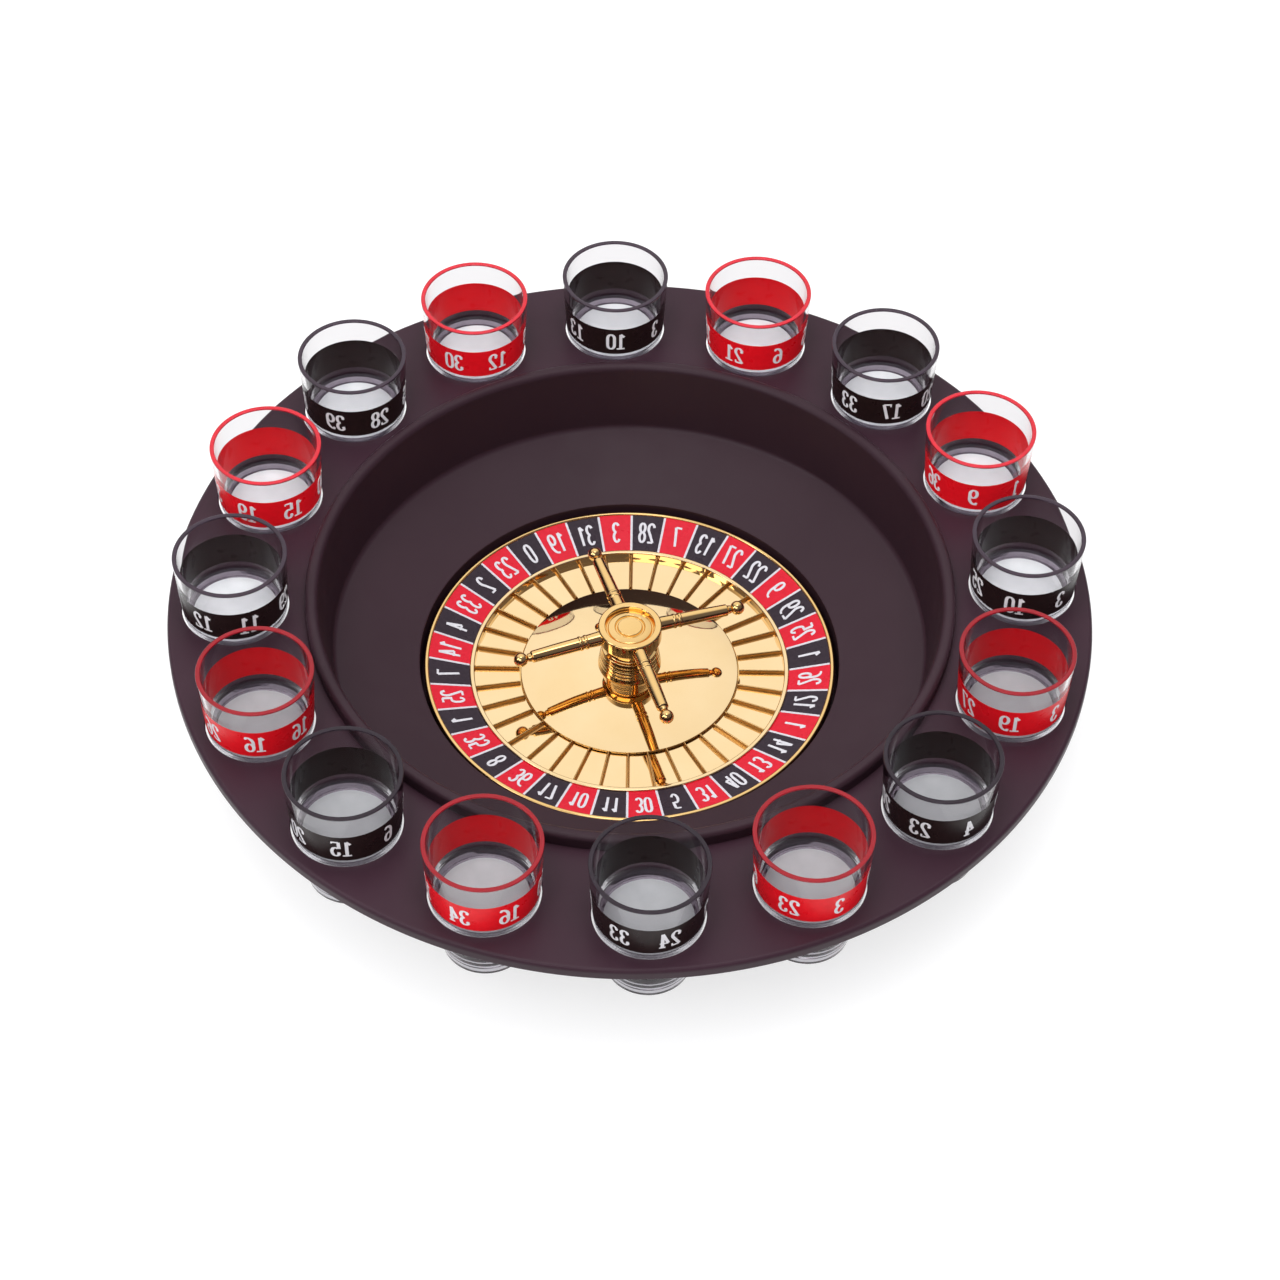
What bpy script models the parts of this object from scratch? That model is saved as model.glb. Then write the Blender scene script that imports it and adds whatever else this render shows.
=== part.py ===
"""Tabletop roulette set: a tray with sixteen shot glasses round a bowl, in which a gold wheel turns.

Metres, +Z up. The origin is on the table, on the wheel's axis, and the tray's glasses stand round it.
"""

import math

import bmesh
import bpy
from mathutils import Matrix, Vector

MM = 0.001
GAP = 0.3 * MM  # between pieces that touch in the real object

# Heights above the table. Every height further down is counted from the tray's top face.
TRAY_TOP = 45.3 * MM

# Tray: a flat ring with a hole for each glass and a turned-down edge.
TRAY_R = 145.0 * MM
TRAY_THICK = 2.2 * MM
LIP_DROP = 4.0 * MM
GLASS_COUNT = 16
GLASS_PITCH_R = 123.8 * MM
GLASS_PHASE = math.radians(3.14)
GLASS_HOLE_R = 16.75 * MM

# Bowl: a collar with the bead and the wall, the ball track, and the well with the spindle's boss.
BEAD_OUTER_R = 102.0 * MM
BEAD_INNER_R = 98.1 * MM
BEAD_TOP = 5.0 * MM
BOWL_NECK_R = 100.0 * MM
WALL_FOOT_R = 94.5 * MM
WALL_FOOT = -19.5 * MM
TRACK_INNER_R = 67.8 * MM
TRACK_INNER = -29.0 * MM
WELL_R = 67.4 * MM
WELL_FLOOR = -40.5 * MM
BASE_R = 70.0 * MM
BASE_UNDER = -43.0 * MM
SHELL = 2.3 * MM
BOSS_R = 12.0 * MM
BOSS_TOP = -37.9 * MM
BOSS_UNDER = -40.4 * MM

# Feet under the well.
FOOT_COUNT = 4
FOOT_R = 5.0 * MM
FOOT_PITCH_R = 58.0 * MM

# Spindle, fixed in the boss, and what runs on it.
SPINDLE_R = 2.0 * MM
SPINDLE_HEAD_R = 5.0 * MM
SPINDLE_HEAD = (-42.6 * MM, -40.7 * MM)
SPINDLE_TOP = -22.6 * MM
SPINDLE_BORE_R = 2.3 * MM
NUT = (-37.6 * MM, -35.8 * MM)
NUT_R = 4.4 * MM
WASHER = (-35.5 * MM, -34.9 * MM)
WASHER_R = 4.6 * MM
BUSH = (-34.6 * MM, -24.4 * MM)
BUSH_R = 3.8 * MM
CLIP = (-24.1 * MM, -23.4 * MM)
CLIP_R = 3.4 * MM

# Wheel: plate, outer trim, number ring, pocket ring and mirror dome.
WHEEL_R = 66.1 * MM
WHEEL_UNDER = -39.0 * MM
WHEEL_WEB = -37.7 * MM
HUB_BORE_R = 4.1 * MM
HUB_TOP = -33.5 * MM
HUB_SHOULDER = (14.0 * MM, -34.4 * MM)
HUB_POCKET_R = 5.2 * MM
HUB_RUN_GAP = 0.9 * MM  # between the hub and the boss
TRIM_SEAT_DROP = 1.8 * MM
WHEEL_EDGE = -36.0 * MM
WHEEL_TAPER = 2.5 * MM
TRIM_TOP = -31.0 * MM
NUMBER_OUTER = (64.6 * MM, -31.6 * MM)
NUMBER_INNER = (51.8 * MM, -34.9 * MM)
NUMBER_THICK = 1.0 * MM
POCKET_COUNT = 36
POCKET_OUTER_R = 51.5 * MM
POCKET_LIP_R = 50.0 * MM
POCKET_INNER_R = 35.4 * MM
POCKET_FLOOR = -36.3 * MM
POCKET_LIP_TOP = -34.4 * MM
DIVIDER_WIDTH = 0.9 * MM
DIVIDER_TOP = -34.6 * MM
DOME_R = 35.1 * MM
DOME_APEX = -31.9 * MM
DOME_EDGE = -35.8 * MM
DOME_THICK = 1.0 * MM

# Turret: flanged base, necked column, cap and four arms with ball knobs.
TURRET_BASE = (-31.5 * MM, -27.4 * MM)
TURRET_BASE_R = 10.2 * MM
TURRET_NECK_R = 6.8 * MM
TURRET_CAP = (-20.6 * MM, -14.5 * MM)
TURRET_CAP_R = 10.2 * MM
ARM_COUNT = 4
ARM_PHASE = math.radians(19.0)
ARM_ROOT = (10.6 * MM, -17.4 * MM)
ARM_TIP = (33.6 * MM, -18.5 * MM)
ARM_COLLAR_R = 2.35 * MM
ARM_ROD_R = 2.05 * MM
KNOB_R = 2.45 * MM

# Glass: heights from the tray's top face.
GLASS_RIM = 22.8 * MM
GLASS_RIM_R = 17.7 * MM
GLASS_WALL = 1.5 * MM
GLASS_SEAT_R = 16.35 * MM
GLASS_FLOOR = -2.4 * MM
GLASS_FLOOR_R = 14.3 * MM
GLASS_UNDER = -24.5 * MM
GLASS_UNDER_R = 13.0 * MM

# Segments round a turned piece.
TRAY_STEPS = 72
BOWL_STEPS = 48
WHEEL_STEPS = 36
TURRET_STEPS = 20
GLASS_STEPS = 16
SMALL_STEPS = 12

PARTS = "roulette_set"
CUTTERS = "cutters"


def clear_scene():
    for obj in list(bpy.data.objects):
        bpy.data.objects.remove(obj, do_unlink=True)


def make_collection(name):
    collection = bpy.data.collections.new(name)
    bpy.context.scene.collection.children.link(collection)
    return collection


def make_material(name, color, roughness, metallic=0.0, transmission=0.0):
    material = bpy.data.materials.new(name)
    material.use_nodes = True
    shader = material.node_tree.nodes["Principled BSDF"]
    shader.inputs["Base Color"].default_value = (*color, 1.0)
    shader.inputs["Roughness"].default_value = roughness
    shader.inputs["Metallic"].default_value = metallic
    shader.inputs["Transmission Weight"].default_value = transmission
    material.diffuse_color = (*color, 1.0)
    return material


def make_empty(name, location):
    empty = bpy.data.objects.new(name, None)
    empty.location = location
    empty.empty_display_size = 0.01
    bpy.data.collections[PARTS].objects.link(empty)
    return empty


def place(obj, material, parent=None):
    bpy.data.collections[PARTS].objects.link(obj)
    obj.data.materials.append(material)
    obj.parent = parent
    obj.data.shade_smooth()
    obj.data.set_sharp_from_angle(angle=math.radians(35))


def add_screw(obj, steps):
    screw = obj.modifiers.new("Turn", "SCREW")
    screw.axis = "Z"
    screw.angle = math.tau
    screw.steps = steps
    screw.render_steps = steps
    screw.use_merge_vertices = True
    screw.merge_threshold = 0.00001


def turned_mesh(name, profile, closed):
    """A profile of (radius, height) in the XZ plane, which runs down the outer side."""
    points = [Vector((radius, 0.0, height)) for radius, height in profile]
    edges = [(i, i + 1) for i in range(len(points) - 1)]
    if closed:
        edges.append((len(points) - 1, 0))
    mesh = bpy.data.meshes.new(name)
    mesh.from_pydata(points, edges, [])
    return mesh


def turned(name, profile, steps, material, closed=True, parent=None):
    obj = bpy.data.objects.new(name, turned_mesh(name, profile, closed))
    place(obj, material, parent)
    add_screw(obj, steps)
    return obj


def raised(profile):
    """The same profile with its heights counted from the tray's top face."""
    return [(radius, TRAY_TOP + height) for radius, height in profile]


def washer_profile(inner_r, outer_r, low, high):
    """The section of a plain ring."""
    return [(inner_r, high), (outer_r, high), (outer_r, low), (inner_r, low)]


def dome_height(radius):
    return DOME_APEX - (DOME_APEX - DOME_EDGE) * (radius / DOME_R) ** 2


def glass_centre(index):
    angle = GLASS_PHASE + math.tau * index / GLASS_COUNT - math.pi / 2
    return Vector((GLASS_PITCH_R * math.cos(angle), GLASS_PITCH_R * math.sin(angle), TRAY_TOP))


def make_helper(name, bm):
    """A hidden object for a Boolean, from the shapes in bm."""
    mesh = bpy.data.meshes.new(name)
    bm.to_mesh(mesh)
    bm.free()
    helper = bpy.data.objects.new(name, mesh)
    helper.hide_render = True
    helper.display_type = "WIRE"
    bpy.data.collections[CUTTERS].objects.link(helper)
    return helper


def make_hole_cutter():
    """One cylinder for each glass, all in one cutter."""
    bm = bmesh.new()
    for index in range(GLASS_COUNT):
        centre = glass_centre(index)
        bmesh.ops.create_cone(
            bm,
            cap_ends=True,
            segments=GLASS_STEPS,
            radius1=GLASS_HOLE_R,
            radius2=GLASS_HOLE_R,
            depth=4 * TRAY_THICK,
            matrix=Matrix.Translation(centre),
        )
    return make_helper("glass_holes", bm)


def add_boolean(obj, other, operation):
    boolean = obj.modifiers.new(operation.title(), "BOOLEAN")
    boolean.operation = operation
    boolean.solver = "EXACT"
    boolean.object = other


def make_tray_rim(material):
    inner_r = BOWL_NECK_R + 0.5 * MM
    profile = [
        (inner_r, 0.0),
        (TRAY_R - 1.2 * MM, 0.0),
        (TRAY_R, -1.2 * MM),
        (TRAY_R, -LIP_DROP),
        (TRAY_R - TRAY_THICK, -LIP_DROP),
        (TRAY_R - TRAY_THICK, -TRAY_THICK),
        (inner_r, -TRAY_THICK),
    ]
    rim = turned("tray_rim", raised(profile), TRAY_STEPS, material)
    add_boolean(rim, make_hole_cutter(), "DIFFERENCE")
    return rim


def make_bowl_collar(material):
    """The bead and the steep wall, which stand on the outer edge of the ball track."""
    profile = [
        (WALL_FOOT_R, WALL_FOOT + 0.8 * MM),
        (BEAD_INNER_R, BEAD_TOP - 1.8 * MM),
        (BEAD_INNER_R + 1.0 * MM, BEAD_TOP - 0.3 * MM),
        ((BEAD_INNER_R + BEAD_OUTER_R) / 2, BEAD_TOP),
        (BEAD_OUTER_R - 0.8 * MM, BEAD_TOP - 0.4 * MM),
        (BEAD_OUTER_R, BEAD_TOP - 1.8 * MM),
        (BEAD_OUTER_R, GAP),
        (BOWL_NECK_R, GAP),
        (BOWL_NECK_R, -TRAY_THICK - 1.0 * MM),
        (WALL_FOOT_R + SHELL, WALL_FOOT + 0.8 * MM),
    ]
    return turned("bowl_collar", raised(profile), BOWL_STEPS, material)


def make_ball_track(material):
    """The sloping ring on which the ball runs, under the foot of the collar."""
    outer_r = WALL_FOOT_R + SHELL
    profile = [
        (WELL_R, TRACK_INNER - 0.5 * MM),
        (TRACK_INNER_R, TRACK_INNER),
        (WALL_FOOT_R - 1.0 * MM, WALL_FOOT - 0.2 * MM),
        (WALL_FOOT_R, WALL_FOOT + 0.8 * MM - GAP),
        (outer_r, WALL_FOOT + 0.8 * MM - GAP),
        (outer_r, WALL_FOOT - 0.5 * SHELL),
        (WALL_FOOT_R, WALL_FOOT - SHELL),
        (WELL_R, TRACK_INNER - SHELL),
    ]
    return turned("ball_track", raised(profile), BOWL_STEPS, material)


def make_wheel_well(material):
    """The cup in which the wheel turns, with the boss that holds the spindle."""
    wall_top = TRACK_INNER - SHELL - GAP
    profile = [
        (SPINDLE_BORE_R, BOSS_TOP),
        (BOSS_R, BOSS_TOP),
        (BOSS_R + 2 * MM, WELL_FLOOR),
        (WELL_R, WELL_FLOOR),
        (WELL_R, wall_top),
        (BASE_R, wall_top),
        (BASE_R, BASE_UNDER),
        (BOSS_R + 3 * MM, BASE_UNDER),
        (BOSS_R, BOSS_UNDER),
        (SPINDLE_BORE_R, BOSS_UNDER),
    ]
    return turned("wheel_well", raised(profile), BOWL_STEPS, material)


def make_feet(material):
    top = TRAY_TOP + BASE_UNDER - GAP
    for index in range(FOOT_COUNT):
        angle = math.tau * (index + 0.5) / FOOT_COUNT
        profile = [(0.0, top), (FOOT_R, top), (FOOT_R, 0.5 * MM), (FOOT_R - 0.5 * MM, 0.0), (0.0, 0.0)]
        foot = turned(f"foot_{index + 1}", profile, SMALL_STEPS, material, closed=False)
        foot.location = (FOOT_PITCH_R * math.cos(angle), FOOT_PITCH_R * math.sin(angle), 0.0)


def make_spindle(steel, plastic):
    low, high = SPINDLE_HEAD
    profile = [
        (0.0, SPINDLE_TOP),
        (SPINDLE_R - 0.4 * MM, SPINDLE_TOP),
        (SPINDLE_R, SPINDLE_TOP - 0.4 * MM),
        (SPINDLE_R, high),
        (SPINDLE_HEAD_R, high),
        (SPINDLE_HEAD_R, low + 0.6 * MM),
        (SPINDLE_HEAD_R - 0.6 * MM, low),
        (0.0, low),
    ]
    turned("spindle", raised(profile), SMALL_STEPS, steel, closed=False)
    turned("spindle_nut", raised(washer_profile(SPINDLE_BORE_R, NUT_R, *NUT)), 6, steel)
    turned("thrust_washer", raised(washer_profile(SPINDLE_BORE_R, WASHER_R, *WASHER)), SMALL_STEPS, plastic)
    turned("retaining_clip", raised(washer_profile(SPINDLE_BORE_R, CLIP_R, *CLIP)), SMALL_STEPS, steel)


def make_rotor_plate(material, axle):
    number_under = NUMBER_THICK + GAP
    trim_seat = NUMBER_OUTER[1] - TRIM_SEAT_DROP
    hub_under = BOSS_TOP + HUB_RUN_GAP
    pocket_top = WASHER[1] + GAP
    profile = [
        (HUB_BORE_R, HUB_TOP),
        HUB_SHOULDER,
        (HUB_SHOULDER[0] + 1.0 * MM, WHEEL_WEB),
        (POCKET_OUTER_R, WHEEL_WEB),
        (NUMBER_INNER[0], NUMBER_INNER[1] - number_under),
        (NUMBER_OUTER[0], NUMBER_OUTER[1] - number_under),
        (NUMBER_OUTER[0] + GAP, trim_seat),
        (WHEEL_R, trim_seat),
        (WHEEL_R, WHEEL_EDGE),
        (WHEEL_R - WHEEL_TAPER, WHEEL_UNDER),
        (BOSS_R + 2.0 * MM, WHEEL_UNDER),
        (BOSS_R + 1.0 * MM, hub_under),
        (HUB_POCKET_R, hub_under),
        (HUB_POCKET_R, pocket_top),
        (HUB_BORE_R, pocket_top),
    ]
    return turned("rotor_plate", raised(profile), WHEEL_STEPS, material, parent=axle)


def make_number_ring(material, axle):
    outer_r, outer_z = NUMBER_OUTER
    inner_r, inner_z = NUMBER_INNER
    profile = [
        (inner_r, inner_z),
        (outer_r, outer_z),
        (outer_r, outer_z - NUMBER_THICK),
        (inner_r, inner_z - NUMBER_THICK),
    ]
    return turned("number_ring", raised(profile), WHEEL_STEPS, material, parent=axle)


def make_outer_trim(material, axle):
    inner_r = NUMBER_OUTER[0] + GAP
    seat = NUMBER_OUTER[1] - TRIM_SEAT_DROP + GAP
    profile = [
        (inner_r, TRIM_TOP - 0.4 * MM),
        (inner_r + 0.4 * MM, TRIM_TOP),
        (WHEEL_R - 0.5 * MM, TRIM_TOP),
        (WHEEL_R, TRIM_TOP - 0.5 * MM),
        (WHEEL_R, seat),
        (inner_r, seat),
    ]
    return turned("outer_trim", raised(profile), WHEEL_STEPS, material, parent=axle)


def make_divider_bars():
    """The radial bars between the pockets, in one helper that is joined to the pocket ring."""
    low = TRAY_TOP + POCKET_FLOOR - 0.4 * MM
    high = TRAY_TOP + DIVIDER_TOP
    inner_r = POCKET_INNER_R + 0.3 * MM
    outer_r = POCKET_LIP_R + 0.4 * MM
    bm = bmesh.new()
    for index in range(POCKET_COUNT):
        turn = Matrix.Rotation(math.tau * index / POCKET_COUNT, 4, "Z")
        size = Matrix.Diagonal((outer_r - inner_r, DIVIDER_WIDTH, high - low, 1.0))
        centre = Matrix.Translation(((inner_r + outer_r) / 2, 0.0, (low + high) / 2))
        bmesh.ops.create_cube(bm, size=1.0, matrix=turn @ centre @ size)
    return make_helper("divider_bars", bm)


def make_pocket_ring(material, axle):
    under = WHEEL_WEB + GAP
    profile = [
        (POCKET_INNER_R, POCKET_FLOOR),
        (POCKET_LIP_R, POCKET_FLOOR),
        (POCKET_LIP_R, POCKET_LIP_TOP),
        (POCKET_OUTER_R, POCKET_LIP_TOP),
        (POCKET_OUTER_R, under),
        (POCKET_INNER_R, under),
    ]
    ring = turned("pocket_ring", raised(profile), WHEEL_STEPS, material, parent=axle)
    add_boolean(ring, make_divider_bars(), "UNION")
    return ring


def make_centre_dome(material, axle):
    """A shallow dome that stands a little proud of the pockets, on its own turned-down edge."""
    radii = [HUB_BORE_R, 14.0 * MM, 25.0 * MM]
    inner_r = DOME_R - DOME_THICK
    under = WHEEL_WEB + GAP
    upper = [(radius, dome_height(radius)) for radius in [*radii, DOME_R]]
    lower = [(radius, dome_height(radius) - DOME_THICK) for radius in [inner_r, *reversed(radii)]]
    profile = [*upper, (DOME_R, under), (inner_r, under), *lower]
    return turned("centre_dome", raised(profile), WHEEL_STEPS, material, parent=axle)


def make_turret(gold, brass, axle):
    low, high = TURRET_BASE
    rib = (high - low) / 3
    base = [
        (HUB_BORE_R, high),
        (TURRET_BASE_R - 1.6 * MM, high),
        (TURRET_BASE_R - 0.8 * MM, high - rib),
        (TURRET_BASE_R, high - rib),
        (TURRET_BASE_R, low + rib / 2),
        (TURRET_BASE_R - 0.6 * MM, low),
        (HUB_BORE_R, low),
    ]
    turned("turret_base", raised(base), TURRET_STEPS, gold, parent=axle)

    column_top = TURRET_CAP[0] - GAP
    column_low = high + GAP
    middle = (column_top + column_low) / 2
    column = [
        (HUB_BORE_R, column_top),
        (TURRET_NECK_R + 1.0 * MM, column_top),
        (TURRET_NECK_R, column_top - 1.4 * MM),
        (TURRET_NECK_R, middle),
        (TURRET_NECK_R + 1.2 * MM, middle - 1.0 * MM),
        (TURRET_NECK_R + 1.2 * MM, column_low),
        (HUB_BORE_R, column_low),
    ]
    turned("turret_column", raised(column), TURRET_STEPS, gold, parent=axle)

    cap_low, cap_top = TURRET_CAP
    cap = [
        (0.0, cap_top - 0.6 * MM),
        (4.6 * MM, cap_top - 0.6 * MM),
        (5.2 * MM, cap_top),
        (TURRET_CAP_R - 0.6 * MM, cap_top),
        (TURRET_CAP_R, cap_top - 0.6 * MM),
        (TURRET_CAP_R, cap_low + 1.2 * MM),
        (TURRET_CAP_R - 1.8 * MM, cap_low),
        (0.0, cap_low),
    ]
    turned("turret_cap", raised(cap), TURRET_STEPS, gold, closed=False, parent=axle)
    bush = washer_profile(SPINDLE_BORE_R, BUSH_R, *BUSH)
    turned("hub_bush", raised(bush), SMALL_STEPS, brass, parent=axle)


def make_arms(gold, axle):
    """Rods that point out of the cap, each with a collar at its root and a ball knob on its tip."""
    root = Vector((ARM_ROOT[0], 0.0, TRAY_TOP + ARM_ROOT[1]))
    tip = Vector((ARM_TIP[0], 0.0, TRAY_TOP + ARM_TIP[1]))
    length = (tip - root).length
    along = (tip - root).to_track_quat("Z", "X").to_matrix().to_4x4()
    rod = [
        (0.0, length),
        (ARM_ROD_R * 0.75, length),
        (ARM_ROD_R, length * 0.35),
        (ARM_COLLAR_R, length * 0.3),
        (ARM_COLLAR_R, length * 0.24),
        (ARM_ROD_R, length * 0.2),
        (ARM_ROD_R, 0.0),
        (0.0, 0.0),
    ]
    knob_centre = length + GAP + KNOB_R
    rings = 6
    knob = [
        (KNOB_R * math.sin(math.pi * i / rings), knob_centre + KNOB_R * math.cos(math.pi * i / rings))
        for i in range(rings + 1)
    ]
    for index in range(ARM_COUNT):
        turn = Matrix.Rotation(ARM_PHASE + math.tau * index / ARM_COUNT, 4, "Z")
        for name, profile in ((f"turret_arm_{index + 1}", rod), (f"arm_knob_{index + 1}", knob)):
            piece = turned(name, profile, SMALL_STEPS - 2, gold, closed=False, parent=axle)
            piece.matrix_world = turn @ Matrix.Translation(root) @ along


def glass_profile():
    """From the middle of the inner floor, up the inside, over the rim and down the outside."""
    return [
        (0.0, GLASS_FLOOR),
        (GLASS_FLOOR_R - 1.0 * MM, GLASS_FLOOR),
        (GLASS_FLOOR_R, GLASS_FLOOR + 1.0 * MM),
        (GLASS_RIM_R - GLASS_WALL, GLASS_RIM - 0.4 * MM),
        (GLASS_RIM_R - GLASS_WALL / 2, GLASS_RIM),
        (GLASS_RIM_R, GLASS_RIM - 0.4 * MM),
        (GLASS_SEAT_R, 0.0),
        (GLASS_UNDER_R, GLASS_UNDER + 1.2 * MM),
        (GLASS_UNDER_R - 1.2 * MM, GLASS_UNDER),
        (0.0, GLASS_UNDER),
    ]


def make_glasses(black, red):
    for index in range(GLASS_COUNT):
        material = (black, red)[index % 2]
        glass = turned(f"glass_{index + 1:02d}", glass_profile(), GLASS_STEPS, material, closed=False)
        glass.location = glass_centre(index)


def main():
    clear_scene()
    make_collection(PARTS)
    make_collection(CUTTERS)

    tray_plastic = make_material("tray_plastic", (0.065, 0.045, 0.058), 0.35)
    gold = make_material("gold_plating", (0.95, 0.72, 0.36), 0.12, metallic=1.0)
    number_print = make_material("number_print", (0.5, 0.06, 0.08), 0.35)
    steel = make_material("steel", (0.6, 0.6, 0.62), 0.3, metallic=1.0)
    brass = make_material("brass", (0.75, 0.58, 0.28), 0.3, metallic=1.0)
    nylon = make_material("nylon", (0.8, 0.8, 0.76), 0.5)
    rubber = make_material("rubber", (0.03, 0.03, 0.03), 0.8)
    black_glass = make_material("black_printed_glass", (0.05, 0.04, 0.05), 0.05, transmission=0.5)
    red_glass = make_material("red_printed_glass", (0.7, 0.03, 0.04), 0.05, transmission=0.5)

    make_tray_rim(tray_plastic)
    make_bowl_collar(tray_plastic)
    make_ball_track(tray_plastic)
    make_wheel_well(tray_plastic)
    make_feet(rubber)
    make_spindle(steel, nylon)

    axle = make_empty("wheel_axis", (0.0, 0.0, 0.0))
    make_rotor_plate(gold, axle)
    make_outer_trim(gold, axle)
    make_number_ring(number_print, axle)
    make_pocket_ring(gold, axle)
    make_centre_dome(gold, axle)
    make_turret(gold, brass, axle)
    make_arms(gold, axle)
    make_glasses(black_glass, red_glass)


main()
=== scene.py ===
"""Looks of the tabletop roulette set: tray, bowl, gold wheel with its turret, and sixteen glasses."""

import math

import bmesh
import bpy
from mathutils import Matrix, Vector
from mathutils.geometry import delaunay_2d_cdt


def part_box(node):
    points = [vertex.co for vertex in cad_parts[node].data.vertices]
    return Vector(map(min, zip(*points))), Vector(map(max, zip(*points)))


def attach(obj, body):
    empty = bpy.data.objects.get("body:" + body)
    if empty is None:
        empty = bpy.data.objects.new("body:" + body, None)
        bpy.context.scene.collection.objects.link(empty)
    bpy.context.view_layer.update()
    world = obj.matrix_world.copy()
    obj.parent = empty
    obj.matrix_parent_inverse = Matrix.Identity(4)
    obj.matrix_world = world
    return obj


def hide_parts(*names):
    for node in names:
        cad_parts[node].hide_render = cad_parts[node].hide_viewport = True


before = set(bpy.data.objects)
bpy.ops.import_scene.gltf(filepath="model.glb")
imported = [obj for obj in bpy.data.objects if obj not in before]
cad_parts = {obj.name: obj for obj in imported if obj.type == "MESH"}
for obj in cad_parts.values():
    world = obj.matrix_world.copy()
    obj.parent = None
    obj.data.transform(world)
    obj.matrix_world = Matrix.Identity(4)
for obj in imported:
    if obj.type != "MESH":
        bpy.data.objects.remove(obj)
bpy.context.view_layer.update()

MM = 0.001

# TOP is the tray's top face, in metres. Heights below are in millimetres from it, and radii are in
# millimetres from the axis that a piece is turned on.
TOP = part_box("tray_rim")[1].z
TRAY_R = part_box("tray_rim")[1].x / MM
GLASS_COUNT = 16
GLASS_HOLE_R = 16.75
FAR_GLASSES = range(4, 13)

# The numbers are printed back to front, as on the set being matched. False prints them the right way round.
NUMERALS_MIRRORED = True

# Camera: distance and elevation of the view, and how far it is turned from the middle of the tray.
CAMERA_DISTANCE = 0.989  # metres
CAMERA_ELEVATION = 47.7
CAMERA_ROLL = 0.9
CAMERA_TURN = (0.172, 0.831)  # degrees to the right and down
LENS = 88.4  # millimetres, with a sensor 36 mm wide


def polar(radius, angle, height):
    """A point in metres, from two lengths in millimetres and an angle about Z in radians."""
    return radius * MM * math.cos(angle), radius * MM * math.sin(angle), height * MM


# ---------------------------------------------------------------- materials


class Surface:
    """A Principled material whose detail comes from noise in object coordinates, in metres."""

    def __init__(self, name, **sockets):
        self.material = bpy.data.materials.new(name)
        self.material.use_nodes = True
        self.tree = self.material.node_tree
        self.shader = self.tree.nodes["Principled BSDF"]
        self.coordinates = self.tree.nodes.new("ShaderNodeTexCoord").outputs["Object"]
        for socket, value in sockets.items():
            self.set(socket.replace("_", " "), value)

    def set(self, socket, value):
        if isinstance(value, bpy.types.NodeSocket):
            self.tree.links.new(value, self.shader.inputs[socket])
        elif isinstance(value, tuple):
            self.shader.inputs[socket].default_value = (*value, 1.0)
        else:
            self.shader.inputs[socket].default_value = value

    def node(self, kind, inputs=(), **settings):
        node = self.tree.nodes.new(kind)
        for key, value in settings.items():
            setattr(node, key, value)
        for key, value in inputs:
            if isinstance(value, bpy.types.NodeSocket):
                self.tree.links.new(value, node.inputs[key])
            else:
                node.inputs[key].default_value = value
        return node

    def noise(self, scale, detail=2.0, vector=None):
        inputs = [("Vector", vector or self.coordinates), ("Scale", scale), ("Detail", detail)]
        return self.node("ShaderNodeTexNoise", inputs).outputs["Fac"]

    def span(self, value, low, high, start=0.3, end=0.7):
        """The value's run from start to end, turned into low to high."""
        inputs = [("Value", value), ("From Min", start), ("From Max", end), ("To Min", low), ("To Max", high)]
        return self.node("ShaderNodeMapRange", inputs).outputs["Result"]

    def tones(self, noise, first, second):
        """A colour that drifts from the first to the second with the noise."""
        mix = self.node("ShaderNodeMix", data_type="RGBA")
        self.tree.links.new(self.span(noise, 0.0, 1.0), mix.inputs["Factor"])
        for name, colour in (("A", first), ("B", second)):
            socket = next(s for s in mix.inputs if s.name == name and s.type == "RGBA")
            socket.default_value = (*colour, 1.0)
        return next(s for s in mix.outputs if s.type == "RGBA")

    def bump(self, height, strength, distance, normal=None):
        inputs = [("Height", height), ("Strength", strength), ("Distance", distance)]
        if normal:
            inputs.append(("Normal", normal))
        return self.node("ShaderNodeBump", inputs).outputs["Normal"]

    def turned_lines(self, scale):
        """Fine rings about the Z axis, as a lathe or a mould's turned insert leaves them."""
        parts = self.node("ShaderNodeSeparateXYZ", [("Vector", self.coordinates)])
        flat = self.node("ShaderNodeCombineXYZ", [("X", parts.outputs["X"]), ("Y", parts.outputs["Y"])])
        radius = self.node("ShaderNodeVectorMath", [(0, flat.outputs[0])], operation="LENGTH")
        inputs = [("X", radius.outputs["Value"]), ("Z", parts.outputs["Z"])]
        section = self.node("ShaderNodeCombineXYZ", inputs)
        return self.noise(scale, detail=3.0, vector=section.outputs[0])


def make_plastic(name, colour, darker):
    """Dark aubergine plastic, moulded with a satin grain."""
    surface = Surface(name, Specular_IOR_Level=0.22)
    cloud = surface.noise(14.0, detail=3.0)
    grain = surface.noise(2600.0, detail=2.0)
    surface.set("Base Color", surface.tones(cloud, darker, colour))
    surface.set("Roughness", surface.span(surface.noise(90.0, detail=4.0), 0.36, 0.46))
    surface.set("Normal", surface.bump(grain, 0.35, 0.00004))
    return surface.material


def make_gold(name, colour, darker, roughness, lines):
    """Metallised plastic: a pale gold mirror with a faint haze and, on turned pieces, faint rings."""
    surface = Surface(name, Metallic=1.0)
    haze = surface.noise(60.0, detail=4.0)
    surface.set("Base Color", surface.tones(haze, darker, colour))
    surface.set("Roughness", surface.span(haze, roughness * 0.75, roughness * 1.35))
    normal = surface.bump(surface.noise(240.0, detail=1.0), 0.06, 0.00012)
    if lines:
        normal = surface.bump(surface.turned_lines(1400.0), lines, 0.00003, normal)
    surface.set("Normal", normal)
    return surface.material


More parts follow.
